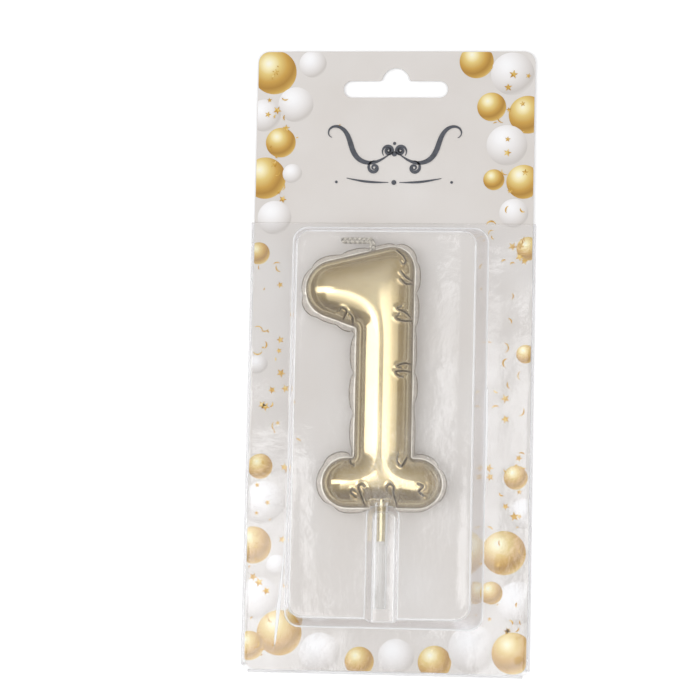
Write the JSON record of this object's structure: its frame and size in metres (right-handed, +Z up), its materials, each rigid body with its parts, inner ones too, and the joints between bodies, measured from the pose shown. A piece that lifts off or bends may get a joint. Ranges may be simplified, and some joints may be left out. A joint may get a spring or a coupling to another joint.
{
  "type": "number candle in a blister pack",
  "caption": "Gold wax number candle, a puffed figure one with a folded wick and a clear pick, in a clear blister that slides off its printed hang card.",
  "frame": {"origin": "middle of the underside of the pack lying on its back, on the surface it lies on", "axes": "+X is the card's right seen from the front, +Y is along the card towards the hang slot, +Z is up out of the card's printed face"},
  "size_m": [0.087, 0.1894, 0.0167],
  "materials": {
    "printed_card": "matt printed board",
    "clear_sheet": "clear thermoformed sheet",
    "gold_lacquered_wax": "champagne gold metallic lacquer",
    "braided_cotton": "waxed cotton braid",
    "clear_rod": "clear moulded plastic"
  },
  "bodies": {
    "card": {"backing_card": "printed_card"},
    "blister": {"blister_shell": "clear_sheet", "numeral_wax": "gold_lacquered_wax", "wick_core": "braided_cotton"},
    "pick": {"clear_pick": "clear_rod"},
    "wick_end": {"wick_tip": "braided_cotton"}
  },
  "joints": [
    {"name": "blister_slide", "type": "slide", "parent": "card", "child": "blister", "axis": [0, -1, 0], "range_m": [0, 0.136]},
    {"name": "pick_slide", "type": "slide", "parent": "blister", "child": "pick", "axis": [0, -1, 0], "range_m": [0, 0.0035]},
    {"name": "wick_bend", "type": "hinge", "parent": "blister", "child": "wick_end", "pos_m": [-0.0055, 0.03542, 0.0079], "axis": [0, 0, 1], "range_deg": [-10, 10]}
  ]
}
